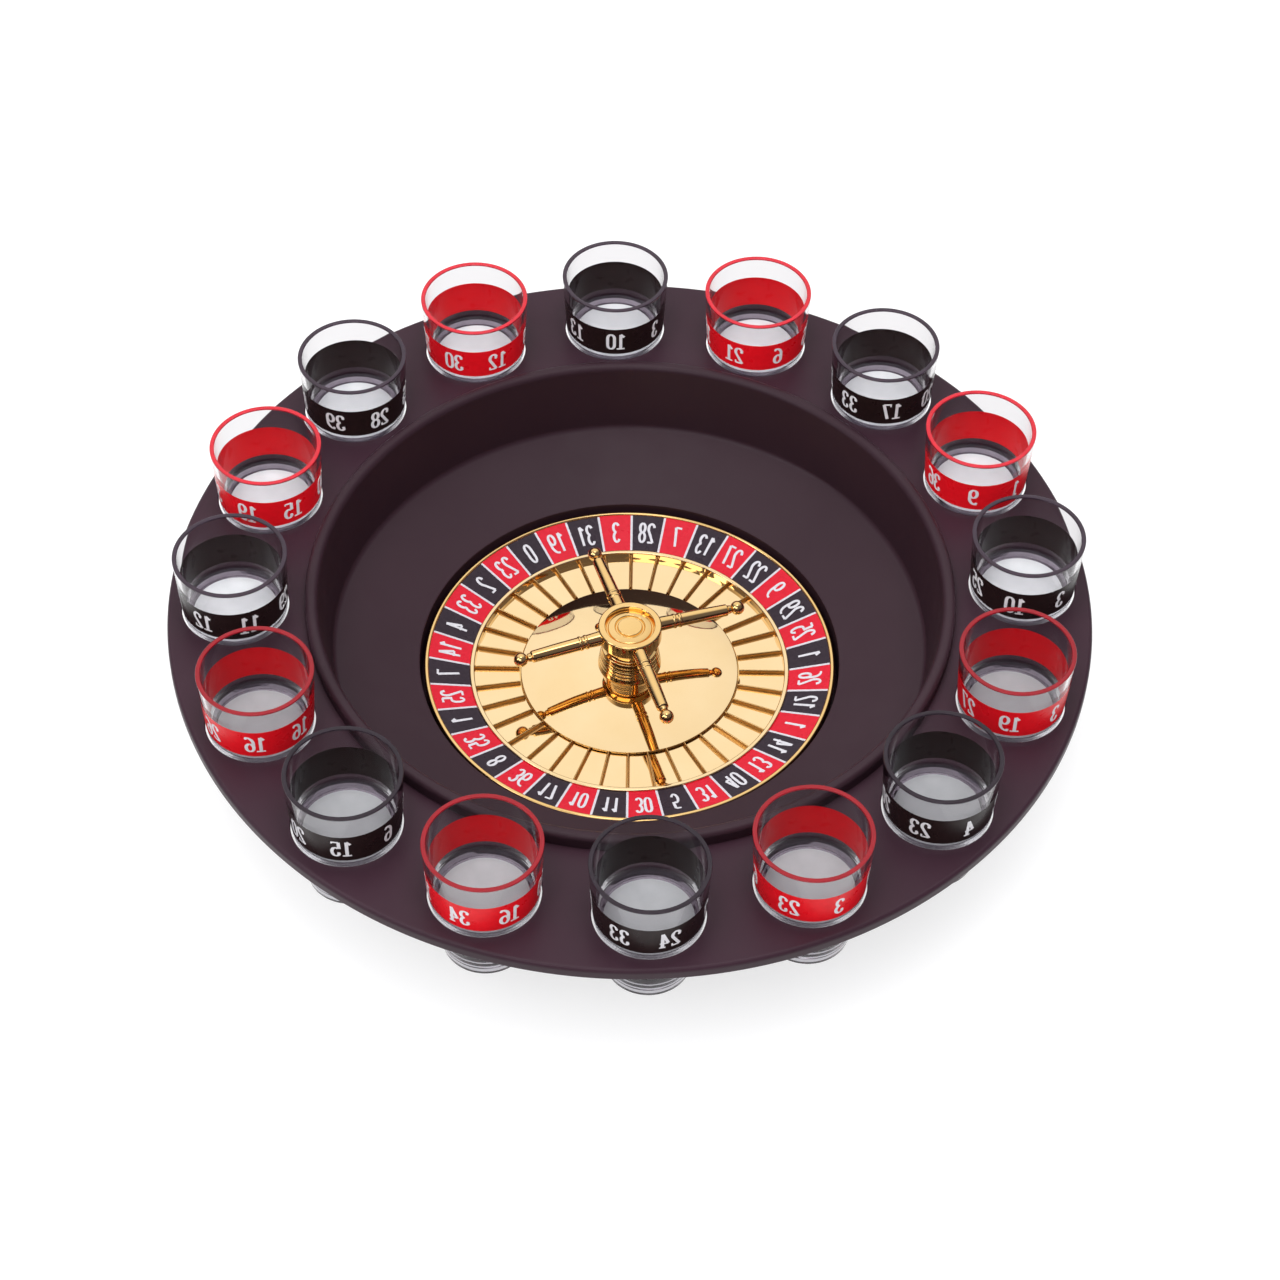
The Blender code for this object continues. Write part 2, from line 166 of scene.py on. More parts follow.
def make_print(name, colour, darker, coat=0.0):
    """Ink with a slight mottle, under a thin clear coat if it has one."""
    surface = Surface(name, Coat_Weight=coat, Coat_Roughness=0.12, Specular_IOR_Level=0.15)
    mottle = surface.noise(700.0, detail=3.0)
    surface.set("Base Color", surface.tones(mottle, darker, colour))
    surface.set("Roughness", surface.span(surface.noise(180.0, detail=3.0), 0.24, 0.375))
    surface.set("Normal", surface.bump(mottle, 0.12, 0.00003))
    return surface.material


def make_clear_glass(name, colour, ior):
    """Pressed glass: clear, with slow waves in its surface. Lamps shine through it."""
    surface = Surface(name, Base_Color=colour, Transmission_Weight=1.0, IOR=ior)
    surface.set("Specular Tint", (0.05, 0.045, 0.06))
    surface.set("Roughness", surface.span(surface.noise(120.0), 0.0, 0.015))
    surface.set("Normal", surface.bump(surface.noise(110.0, detail=1.5), 0.08, 0.0004))
    path = surface.node("ShaderNodeLightPath")
    clear = surface.node("ShaderNodeBsdfTransparent", [("Color", (0.98, 0.98, 0.98, 1.0))])
    mix = surface.node("ShaderNodeMixShader", [("Fac", path.outputs["Is Shadow Ray"])])
    surface.tree.links.new(surface.shader.outputs[0], mix.inputs[1])
    surface.tree.links.new(clear.outputs[0], mix.inputs[2])
    surface.tree.links.new(mix.outputs[0], surface.tree.nodes["Material Output"].inputs["Surface"])
    return surface.material


def make_rim_painted_reflection(name, colour, darker):
    """The fire-polished rim, tinted with the colour of the print below it: a painted reflection of the print
    that the glass carries up to its rim.
    """
    surface = Surface(name, Transmission_Weight=0.25, IOR=1.47, Coat_Weight=0.3, Coat_Roughness=0.05)
    surface.set("Specular Tint", (0.4, 0.4, 0.4))
    surface.set("Base Color", surface.tones(surface.noise(90.0, detail=3.0), darker, colour))
    surface.set("Roughness", surface.span(surface.noise(200.0), 0.12, 0.2))
    return surface.material


def make_painted_shade_corner():
    """The tight curve between the cup's floor and wall, tinted dark purple: painted shade for the dark tray
    seen round it through the glass.
    """
    surface = Surface("painted_shade_corner_glass", Transmission_Weight=0.8, IOR=1.47)
    streak = surface.noise(150.0, detail=3.0)
    surface.set("Specular Tint", (0.5, 0.5, 0.5))
    surface.set("Base Color", surface.tones(streak, (0.06, 0.044, 0.062), (0.12, 0.095, 0.125)))
    surface.set("Roughness", surface.span(streak, 0.05, 0.15))
    return surface.material


def make_painted_light_floor():
    """The cup's floor in a milky grey: painted light, standing in for the bright floor seen through the clear
    base.
    """
    surface = Surface("painted_light_floor_glass", Transmission_Weight=0.3, IOR=1.47)
    streak = surface.noise(160.0, detail=4.0)
    surface.set("Base Color", surface.tones(streak, (0.29, 0.294, 0.306), (0.345, 0.349, 0.362)))
    surface.set("Roughness", surface.span(streak, 0.35, 0.5))
    surface.set("Normal", surface.bump(surface.noise(900.0), 0.15, 0.00005))
    return surface.material


def make_metal(name, colour, darker, roughness):
    surface = Surface(name, Metallic=1.0)
    lines = surface.turned_lines(2200.0)
    surface.set("Base Color", surface.tones(surface.noise(300.0), darker, colour))
    surface.set("Roughness", surface.span(lines, roughness * 0.7, roughness * 1.4))
    surface.set("Normal", surface.bump(lines, 0.25, 0.00003))
    return surface.material


def make_matt(name, colour, darker, roughness, grain):
    surface = Surface(name)
    mottle = surface.noise(grain, detail=4.0)
    surface.set("Base Color", surface.tones(mottle, darker, colour))
    surface.set("Roughness", surface.span(mottle, roughness, min(1.0, roughness * 1.2)))
    surface.set("Normal", surface.bump(mottle, 0.4, 0.00006))
    return surface.material


# ---------------------------------------------------------------- meshes


def rounded(points, arc_steps=6):
    """A profile of (radius, height) in millimetres. A third number is the radius that rounds the corner."""
    corners = []
    for index, point in enumerate(points):
        here, wanted = Vector(point[:2]), point[2] if len(point) > 2 else 0.0
        if not wanted:
            corners.append(tuple(here))
            continue
        before, after = Vector(points[index - 1][:2]), Vector(points[(index + 1) % len(points)][:2])
        back, on = (before - here), (after - here)
        half = back.angle(on) / 2
        cut = min(wanted / math.tan(half), back.length * 0.49, on.length * 0.49)
        radius = cut * math.tan(half)
        back.normalize()
        on.normalize()
        centre = here + (back + on).normalized() * (radius / math.sin(half))
        first, last = here + back * cut - centre, here + on * cut - centre
        start = math.atan2(first.y, first.x)
        turn = (math.atan2(last.y, last.x) - start + math.pi) % math.tau - math.pi
        for step in range(arc_steps + 1):
            angle = start + turn * step / arc_steps
            corners.append((centre.x + radius * math.cos(angle), centre.y + radius * math.sin(angle)))
    return corners


def lathe(bm, profile, steps, closed=False, paint=None):
    """Turns a profile, which runs outwards along the top and down the outer side, about Z."""
    rings = []
    for radius, height in profile:
        if radius < 1e-6:
            rings.append([bm.verts.new((0.0, 0.0, height * MM))])
            continue
        angles = (math.tau * i / steps for i in range(steps))
        rings.append([bm.verts.new(polar(radius, angle, height)) for angle in angles])
    count = len(rings) if closed else len(rings) - 1
    for k in range(count):
        upper, lower = rings[k], rings[(k + 1) % len(rings)]
        if len(upper) == 1 and len(lower) == 1:
            continue
        index = paint(profile[k], profile[(k + 1) % len(rings)]) if paint else 0
        for i in range(steps):
            j = (i + 1) % steps
            corners = [upper[i % len(upper)], lower[i % len(lower)]]
            corners += [lower[j % len(lower)], upper[j % len(upper)]]
            face = bm.faces.new(list(dict.fromkeys(corners)))
            face.material_index = index


def finish_mesh(name, bm, materials, sharp=40.0):
    mesh = bpy.data.meshes.new(name)
    bm.to_mesh(mesh)
    bm.free()
    for material in materials:
        mesh.materials.append(material)
    mesh.shade_smooth()
    mesh.set_sharp_from_angle(angle=math.radians(sharp))
    return mesh


def place(name, mesh, body, replaces=(), location=(0.0, 0.0, TOP), matrix=None, weighted=True):
    """Puts a piece in the scene, on its body. Weighted normals keep the broad faces evenly shaded."""
    obj = bpy.data.objects.new(name, mesh)
    bpy.context.scene.collection.objects.link(obj)
    obj.matrix_world = matrix if matrix else Matrix.Translation(location)
    if weighted:
        normals = obj.modifiers.new("Weighted normals", "WEIGHTED_NORMAL")
        normals.keep_sharp = True
    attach(obj, body)
    if replaces:
        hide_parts(*replaces)
    return obj


def turned(name, points, steps, body, material, replaces, closed=True, matrix=None, arc_steps=6):
    bm = bmesh.new()
    lathe(bm, rounded(points, arc_steps), steps, closed)
    return place(name, finish_mesh(name, bm, [material]), body, replaces, matrix=matrix)


# ---------------------------------------------------------------- numerals


def arc(x, y, rx, ry, start, end):
    count = max(4, round(abs(end - start) / 15))
    angles = [math.radians(start + (end - start) * i / count) for i in range(count + 1)]
    return [(x + rx * math.cos(a), y + ry * math.sin(a)) for a in angles]


def ring(x, y, rx, ry):
    return [arc(x, y, rx, ry, 90, 270), arc(x, y, rx, ry, 270, 450)]


def digit_strokes(digit, w):
    """The centre lines of a digit that is w wide and 1 tall."""
    half = w / 2
    six = [arc(w * 0.92, 0.60, w * 0.92, 0.40, 80, 180) + [(0.0, 0.27)], *ring(half, 0.27, half, 0.27)]
    return {
        "0": [
            arc(half, 0.72, half, 0.28, 90, 180) + arc(half, 0.28, half, 0.28, 180, 270),
            arc(half, 0.28, half, 0.28, 270, 360) + arc(half, 0.72, half, 0.28, 0, 90),
        ],
        "1": [[(w * 0.6, 0.0), (w * 0.6, 1.0)], [(w * 0.6, 1.0), (w * 0.1, 0.8)]],
        "2": [arc(half, 0.74, half, 0.26, 165, -25) + [(0.0, 0.0)], [(0.0, 0.0), (w, 0.0)]],
        "3": [arc(half, 0.76, half * 0.94, 0.24, 155, -90), arc(half, 0.26, half, 0.26, 90, -155)],
        "4": [
            [(w * 0.76, 0.0), (w * 0.76, 1.0)],
            [(w * 0.76, 1.0), (0.0, 0.3)],
            [(0.0, 0.3), (w * 1.1, 0.3)],
        ],
        "5": [
            [(w * 0.94, 1.0), (w * 0.1, 1.0)],
            [(w * 0.1, 1.0), (w * 0.04, 0.54)],
            arc(half, 0.3, half, 0.3, 125, -155),
        ],
        "6": six,
        "7": [[(0.0, 1.0), (w, 1.0)], [(w, 1.0), (w * 0.35, 0.0)]],
        "8": [*ring(half, 0.76, half * 0.88, 0.24), *ring(half, 0.26, half, 0.26)],
        "9": [[(w - x, 1.0 - y) for x, y in stroke] for stroke in six],
    }[digit]


def digit_trims(digit, w):
    """Slabs and ball ends of the serif digits: (centre line, half width) pairs, and (x, y, radius) balls."""
    slabs = {
        "1": [([(w * 0.02, 0.0), (w * 1.18, 0.0)], 0.042)],
        "2": [([(w, -0.02), (w, 0.15)], 0.04)],
        "4": [([(w * 0.36, 0.0), (w * 1.16, 0.0)], 0.042)],
        "5": [([(w * 0.98, 1.03), (w * 0.98, 0.9)], 0.035)],
        "7": [([(0.0, 1.03), (0.0, 0.85)], 0.04)],
    }
    balls = {
        "2": [(0.03, 0.76, 0.075)],
        "3": [(0.04, 0.83, 0.07), (0.04, 0.19, 0.075)],
        "5": [(0.04, 0.2, 0.075)],
        "6": [(w * 0.96, 0.93, 0.07)],
        "9": [(w * 0.04, 0.07, 0.07)],
    }
    return slabs.get(digit, []), balls.get(digit, [])


def ribbon(path, half_width):
    """The outline of a stroke. half_width takes how upright the stroke runs there, from 0 to 1."""
    points = [Vector(path[0])]
    for start, end in zip(path, path[1:]):
        start, end = Vector(start), Vector(end)
        cuts = max(1, round((end - start).length / 0.12))
        points += [start.lerp(end, (i + 1) / cuts) for i in range(cuts)]
    left, right = [], []
    for index, point in enumerate(points):
        along = (points[min(index + 1, len(points) - 1)] - points[max(index - 1, 0)]).normalized()
        side = Vector((-along.y, along.x)) * half_width(abs(along.y))
        left.append(point + side)
        right.append(point - side)
    return left + right[::-1]


def digit_shape(digit, w, thick, thin, serif):
    """(points, triangles) of a digit, with its overlapping strokes made one flat shape."""

    def stroke_width(upright):
        return thin + (thick - thin) * upright**1.5

    outlines = [ribbon(path, stroke_width) for path in digit_strokes(digit, w)]
    if serif:
        slabs, balls = digit_trims(digit, w)
        outlines += [ribbon(path, lambda _, half=half: half) for path, half in slabs]
        outlines += [[Vector(p) for p in arc(x, y, r, r * 0.95, 0, 345)] for x, y, r in balls]
    corners = [point for outline in outlines for point in outline]
    faces, at = [], 0
    for outline in outlines:
        area = sum(a.x * b.y - b.x * a.y for a, b in zip(outline, outline[1:] + outline[:1]))
        order = list(range(at, at + len(outline)))
        faces.append(order if area > 0 else order[::-1])
        at += len(outline)
    points, _, triangles, _, _, inside = delaunay_2d_cdt(corners, [], faces, 0, 1e-5)
    return points, [t for t, owners in zip(triangles, inside) if owners]


def add_number(bm, text, shapes, width, gap, height, lift, thickness, wrap):
    """Lays a number on a surface. wrap turns (across, up, out) in millimetres into a point in metres."""
    total = len(text) * width + (len(text) - 1) * gap
    for order, digit in enumerate(text):
        points, triangles = shapes[digit]
        flat = []
        for point in points:
            across = (point.x * height) + order * (width + gap) - total / 2
            flat.append((-across if NUMERALS_MIRRORED else across, (point.y - 0.5) * height))
        used = sorted({i for t in triangles for i in t})
        upper = {i: bm.verts.new(wrap(*flat[i], lift + thickness)) for i in used}
        lower = {i: bm.verts.new(wrap(*flat[i], lift)) for i in used}
        made, edges = [], {}
        for triangle in triangles:
            triangle = list(triangle)
            for a, b in zip(triangle, triangle[1:] + triangle[:1]):
                edges[frozenset((a, b))] = None if frozenset((a, b)) in edges else (a, b)
            made.append(bm.faces.new([upper[i] for i in triangle]))
            made.append(bm.faces.new([lower[i] for i in reversed(triangle)]))
        for pair in filter(None, edges.values()):
            a, b = pair
            made.append(bm.faces.new([upper[b], upper[a], lower[a], lower[b]]))
        bmesh.ops.recalc_face_normals(bm, faces=made)


# ---------------------------------------------------------------- tray and bowl

BEAD_OUTER_R, BEAD_INNER_R, BEAD_TOP = 102.0, 98.1, 5.0
WALL_FOOT, TRACK_INNER, WELL_FLOOR, BASE_UNDER = (94.5, -19.5), (67.8, -29.0), (67.4, -40.5), -43.0
BOSS_R, BOSS_TOP, BORE_R = 12.0, -37.9, 2.3
TRAY_UNDER = -2.2


def glass_centre(index):
    low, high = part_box(f"glass_{index + 1:02d}")
    return (low + high) / 2


def make_hole_cutter():
    """Spools that widen at the tray's two faces, so that each hole gets a rounded edge."""
    bm = bmesh.new()
    outline = [
        (0.0, 1.0),
        (GLASS_HOLE_R + 0.9, 1.0),
        (GLASS_HOLE_R + 0.9, 0.0),
        (GLASS_HOLE_R, 0.0, 0.7),
        (GLASS_HOLE_R, TRAY_UNDER, 0.5),
        (GLASS_HOLE_R + 0.8, TRAY_UNDER),
        (GLASS_HOLE_R + 0.8, TRAY_UNDER - 0.8),
        (0.0, TRAY_UNDER - 0.8),
    ]
    for index in range(GLASS_COUNT):
        start = len(bm.verts)
        lathe(bm, rounded(outline), 72)
        bm.verts.ensure_lookup_table()
        centre = glass_centre(index)
        bmesh.ops.translate(bm, vec=(centre.x, centre.y, 0.0), verts=bm.verts[start:])
    mesh = bpy.data.meshes.new("hole_cutter")
    bm.to_mesh(mesh)
    bm.free()
    cutter = bpy.data.objects.new("hole_cutter", mesh)
    bpy.context.scene.collection.objects.link(cutter)
    return cutter


def make_tray(material):
    outline = [
        (BEAD_OUTER_R - 1.6, 0.0),
        (TRAY_R, 0.0, 1.4),
        (TRAY_R, -4.0, 0.5),
        (TRAY_R - 2.1, -4.0, 0.4),
        (TRAY_R - 2.1, TRAY_UNDER, 0.8),
        (BEAD_OUTER_R - 1.6, TRAY_UNDER),
    ]
    bm = bmesh.new()
    lathe(bm, rounded(outline), 240, closed=True)
    mesh = finish_mesh("tray_rim", bm, [material])
    blank = bpy.data.objects.new("tray_blank", mesh)
    bpy.context.scene.collection.objects.link(blank)
    cutter = make_hole_cutter()
    cut = blank.modifiers.new("Holes", "BOOLEAN")
    cut.operation, cut.solver, cut.object = "DIFFERENCE", "EXACT", cutter
    bpy.context.view_layer.update()
    result = bpy.data.meshes.new_from_object(blank.evaluated_get(bpy.context.evaluated_depsgraph_get()))
    bpy.data.objects.remove(blank)
    bpy.data.objects.remove(cutter)
    result.name = "tray_rim"
    result.shade_smooth()
    result.set_sharp_from_angle(angle=math.radians(40))
    place("tray_top", result, "tray", ["tray_rim"])


def make_bowl(material):
    outline = [
        (BORE_R, BOSS_TOP),
        (BOSS_R, BOSS_TOP, 0.4),
        (BOSS_R + 2.0, WELL_FLOOR[1], 0.6),
        (*WELL_FLOOR, 1.2),
        (WELL_FLOOR[0], TRACK_INNER[1] - 0.2, 0.15),
        (*TRACK_INNER, 0.35),
        (*WALL_FOOT, 2.2),
        (BEAD_INNER_R, BEAD_TOP, 2.1),
        (BEAD_OUTER_R, BEAD_TOP, 1.6),
        (BEAD_OUTER_R, 0.03, 0.3),
        (BEAD_OUTER_R - 2.0, 0.03),
        (BEAD_OUTER_R - 2.0, -3.2, 0.5),
        (WALL_FOOT[0] + 2.3, WALL_FOOT[1], 2.5),
        (70.0, TRACK_INNER[1] - 2.3, 1.0),
        (70.0, BASE_UNDER, 1.2),
        (BOSS_R + 3.0, BASE_UNDER, 0.6),
        (BOSS_R, BASE_UNDER + 2.6, 0.5),
        (BORE_R, BASE_UNDER + 2.6),
    ]
    nodes = ["bowl_collar", "ball_track", "wheel_well"]
    turned("bowl", outline, 256, "tray", material, nodes, arc_steps=8)


def make_feet(material):
    """Rubber pads with two grooves in their undersides."""
    for index in range(4):
        low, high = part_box(f"foot_{index + 1}")
        radius, top = (high.x - low.x) / 2 / MM, (high.z - low.z) / MM
        outline = [(0.0, top + 0.28), (radius - 0.3, top + 0.28), (radius, 0.0, 0.6)]
        for groove in (3.6, 1.9):
            outline += [(groove + 0.3, 0.0, 0.1), (groove, 0.25), (groove - 0.3, 0.0, 0.1)]
        outline.append((0.0, 0.0))
        centre = (low + high) / 2
        matrix = Matrix.Translation((centre.x, centre.y, low.z))
        turned(f"pad_{index + 1}", outline, 48, "tray", material, [f"foot_{index + 1}"],
               closed=False, matrix=matrix, arc_steps=4)


def make_axle(steel):
    low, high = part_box("spindle")
    under, top = (low.z - TOP) / MM, (high.z - TOP) / MM
    outline = [
        (0.0, top),
        (2.0, top, 0.4),
        (2.0, under + 1.9, 0.2),
        (5.0, under + 1.9, 0.3),
        (5.0, under, 0.7),
        (1.6, under, 0.1),
        (1.6, under + 0.9, 0.1),
        (0.0, under + 0.9),
    ]
    turned("axle", outline, 64, "tray", steel, ["spindle"], closed=False)


# ---------------------------------------------------------------- wheel

WHEEL_R = 66.1
NUMBER_OUTER, NUMBER_INNER = (64.6, -31.6), (51.8, -34.9)
LINE_HALF_WIDTH = 0.36
POCKET_COUNT = 36
POCKET_OUTER_R, POCKET_LIP_R, POCKET_INNER_R = 51.5, 50.0, 35.5
POCKET_FLOOR, POCKET_LIP_TOP, DIVIDER_TOP = -36.8, -34.4, -35.3
DOME_R, DOME_APEX, DOME_DROP = 35.1, -31.9, 3.9
HUB_BORE_R, RING_UNDER = 4.1, -37.4
ARM_TURN = 19.0  # degrees from the X axis to the first arm
WHEEL_NUMBERS = (
    "28 7 13 27 22 9 29 25 1 26 12 1 14 13 40 31 5 30 11 10 17 36 8 35 1 25 7 14 4 33 2 23 0 19 31 3".split()
)


def cone_height(radius):
    (r0, z0), (r1, z1) = NUMBER_INNER, NUMBER_OUTER
    return z0 + (z1 - z0) * (radius - r0) / (r1 - r0)


def make_plate(gold):
    outline = [
        (HUB_BORE_R, -33.5),
        (14.0, -34.4),
        (15.0, -37.7),
        (51.5, -37.7),
        (51.8, -36.2),
        (64.6, -32.9),
        (64.9, -33.4),
        (WHEEL_R, -33.4),
        (WHEEL_R, -36.0, 0.8),
        (63.6, -39.0, 0.8),
        (14.0, -39.0, 0.3),
        (13.0, -37.0),
        (5.2, -37.0),
        (5.2, -34.6),
        (HUB_BORE_R, -34.6),
    ]
    turned("wheel_plate", outline, 192, "wheel", gold, ["rotor_plate"])


def make_trim(gold):
    outline = [(64.6, -33.35), (64.6, -31.0, 0.55), (WHEEL_R, -31.0, 0.7), (WHEEL_R, -33.35)]
    turned("trim_ring", outline, 256, "wheel", gold, ["outer_trim"])


def make_number_ring(red, black, silver, white):
    """The printed cone: red and black sectors, silver lines between them, and the numbers."""
    per_sector = 10
    steps = POCKET_COUNT * per_sector
    bm = bmesh.new()
    first, last = NUMBER_INNER[0] - 0.25, NUMBER_OUTER[0] + 0.05
    radii = [first + (last - first) * i / 6 for i in range(7)]
    profile = [(radius, cone_height(radius)) for radius in radii]
    profile += [(radius, cone_height(radius) - 1.0) for radius in (last, first)]
    lathe(bm, profile, steps, closed=True)
    for face in bm.faces:
        centre = face.calc_center_median()
        clockwise = (90.0 - math.degrees(math.atan2(centre.y, centre.x))) % 360.0
        face.material_index = int(clockwise // (360.0 / POCKET_COUNT)) % 2
    mesh = finish_mesh("number_ring_print", bm, [black, red])
    place("number_ring_print", mesh, "wheel", ["number_ring"])

    slope = math.atan2(NUMBER_OUTER[1] - NUMBER_INNER[1], NUMBER_OUTER[0] - NUMBER_INNER[0])

    def on_cone(radius, angle, out):
        radius -= out * math.sin(slope)
        height = cone_height(radius + out * math.sin(slope)) + out * math.cos(slope)
        return polar(radius, angle, height)

    bm = bmesh.new()
    for index in range(POCKET_COUNT):
        angle = math.tau * index / POCKET_COUNT
        rows = []
        for step in range(5):
            radius = NUMBER_INNER[0] - 0.1 + (NUMBER_OUTER[0] - NUMBER_INNER[0]) * step / 4
            start, end = angle - LINE_HALF_WIDTH / radius, angle + LINE_HALF_WIDTH / radius
            corners = ((start, 0.0), (start, 0.06), (end, 0.06), (end, 0.0))
            rows.append([bm.verts.new(on_cone(radius, a, out)) for a, out in corners])
        for inner, outer in zip(rows, rows[1:]):
            for i in range(4):
                bm.faces.new([inner[i], outer[i], outer[(i + 1) % 4], inner[(i + 1) % 4]])
        bm.faces.new(rows[0])
        bm.faces.new(rows[-1][::-1])
    bmesh.ops.recalc_face_normals(bm, faces=bm.faces)
    mesh = finish_mesh("number_ring_lines", bm, [silver])
    place("number_ring_lines", mesh, "wheel", weighted=False)

    shapes = {d: digit_shape(d, 0.27, 0.062, 0.050, False) for d in "0123456789"}
    bm = bmesh.new()
    middle, height = 58.3, 6.9
    for index, text in enumerate(WHEEL_NUMBERS):
        angle = math.radians(90.0 - (index + 0.5) * 360.0 / POCKET_COUNT)

        def wrap(across, up, out, angle=angle):
            return on_cone(middle + up, angle - across / middle, out)

        add_number(bm, text, shapes, 1.87, 1.0, height, 0.015, 0.05, wrap)
    mesh = finish_mesh("number_ring_numerals", bm, [white])
    place("number_ring_numerals", mesh, "wheel", weighted=False)


def make_pockets(mirror, satin):
    """The pocket ring's top is one surface: floors, rounded dividers and the raised lip.

    A divider's section is ridge: how far from its middle in millimetres, and what part of its height.
    """
    ridge = [(-0.64, 0.0), (-0.56, 0.22), (-0.46, 0.50), (-0.34, 0.74), (-0.20, 0.92), (-0.07, 1.0)]
    ridge += [(-x, h) for x, h in reversed(ridge)]
    floor_steps = 5
    radii = [POCKET_INNER_R, 36.2, 38.5, 41.0, 43.5, 46.0, 48.0, 49.2, 49.6, 49.85]
    lip = [
        (49.9, POCKET_FLOOR),
        (POCKET_LIP_R, POCKET_LIP_TOP, 0.45),
        (POCKET_OUTER_R, POCKET_LIP_TOP, 0.45),
        (POCKET_OUTER_R, RING_UNDER),
        (POCKET_INNER_R, RING_UNDER),
    ]
    bm = bmesh.new()
    rings = []
    for radius in radii:
        row = []
        for index in range(POCKET_COUNT):
            base = math.tau * index / POCKET_COUNT
            for offset, rise in ridge:
                height = POCKET_FLOOR + (DIVIDER_TOP - POCKET_FLOOR) * rise
                if radius == radii[-1]:
                    height += (POCKET_LIP_TOP - height) * 0.04
                row.append((base + offset / radius, height))
            last, first = ridge[-1][0] / radius, math.tau / POCKET_COUNT + ridge[0][0] / radius
            for step in range(1, floor_steps):
                row.append((base + last + (first - last) * step / floor_steps, POCKET_FLOOR))
        rings.append([bm.verts.new(polar(radius, angle, height)) for angle, height in row])
    angles = [math.atan2(v.co.y, v.co.x) for v in rings[-1]]
    for radius, height in rounded(lip)[1:]:
        rings.append([bm.verts.new(polar(radius, angle, height)) for angle in angles])
    count, per_pocket = len(angles), len(ridge) + floor_steps - 1
    for k, (upper, lower) in enumerate(zip(rings, rings[1:] + rings[:1])):
        for i in range(count):
            j = (i + 1) % count
            face = bm.faces.new([upper[i], lower[i], lower[j], upper[j]])
            # Divider faces take the satin gold, whose darker colour is painted shade.
            face.material_index = int(k < len(radii) - 1 and i % per_pocket < len(ridge) - 1)
    bmesh.ops.recalc_face_normals(bm, faces=bm.faces)
    mesh = finish_mesh("pockets", bm, [mirror, satin], sharp=50.0)
    place("pockets", mesh, "wheel", ["pocket_ring"])


def make_dome(mirror, satin):
    """A shallow mirror dome that stands a little proud of the pockets, with a satin edge in a darker gold
    that is painted shade.
    """
    count = 28
    outline = [(HUB_BORE_R, DOME_APEX)]
    for step in range(1, count + 1):
        radius = HUB_BORE_R + (DOME_R - HUB_BORE_R) * step / count
        outline.append((radius, DOME_APEX - DOME_DROP * (radius / DOME_R) ** 2))
    edge = outline.pop()
    outline += [(*edge, 0.3), (DOME_R, RING_UNDER), (DOME_R - 1.2, RING_UNDER)]
    outline += [(DOME_R - 1.2, DOME_APEX - DOME_DROP - 0.9), (HUB_BORE_R, DOME_APEX - 1.2)]

    def paint(upper, lower):
        return int(upper[1] > lower[1] and min(upper[0], lower[0]) > DOME_R - 0.4)

    bm = bmesh.new()
    lathe(bm, rounded(outline), 256, closed=True, paint=paint)
    mesh = finish_mesh("mirror_dome", bm, [mirror, satin])
    place("mirror_dome", mesh, "wheel", ["centre_dome"])


def make_turret(gold):
    """A flange with three bands, a necked column, and a cap with a dished, ringed top."""
    base = [
        (HUB_BORE_R, -27.4),
        (9.5, -27.4, 0.2),
        (9.6, -28.65, 0.12),
        (9.35, -28.72, 0.05),
        (9.35, -28.82, 0.05),
        (9.7, -28.9, 0.12),
        (9.8, -30.0, 0.12),
        (9.55, -30.07, 0.05),
        (9.55, -30.17, 0.05),
        (9.9, -30.25, 0.12),
        (10.2, -32.1, 0.2),
        (HUB_BORE_R, -31.8),
    ]
    turned("flange", base, 128, "wheel", gold, ["turret_base"])
    column = [
        (HUB_BORE_R, -20.9),
        (8.4, -20.9, 0.3),
        (8.4, -22.0, 0.3),
        (7.9, -22.2, 0.4),
        (7.9, -23.8, 0.5),
        (9.0, -24.2, 0.3),
        (9.15, -25.6, 0.12),
        (8.95, -25.67, 0.05),
        (8.95, -25.77, 0.05),
        (9.25, -25.85, 0.12),
        (9.4, -27.1, 0.2),
        (HUB_BORE_R, -27.1),
    ]
    turned("column", column, 128, "wheel", gold, ["turret_column"])
    cap = [
        (0.0, -15.0),
        (3.8, -15.05, 0.3),
        (4.1, -15.8, 0.15),
        (4.5, -15.8, 0.15),
        (4.9, -15.1, 0.3),
        (6.9, -15.6, 0.3),
        (7.1, -16.4, 0.15),
        (7.5, -16.4, 0.15),
        (8.0, -14.5, 0.3),
        (10.2, -14.5, 0.7),
        (10.2, -19.7, 0.9),
        (8.6, -20.6, 0.4),
        (0.0, -20.6),
    ]
    turned("cap", cap, 160, "wheel", gold, ["turret_cap"], closed=False)


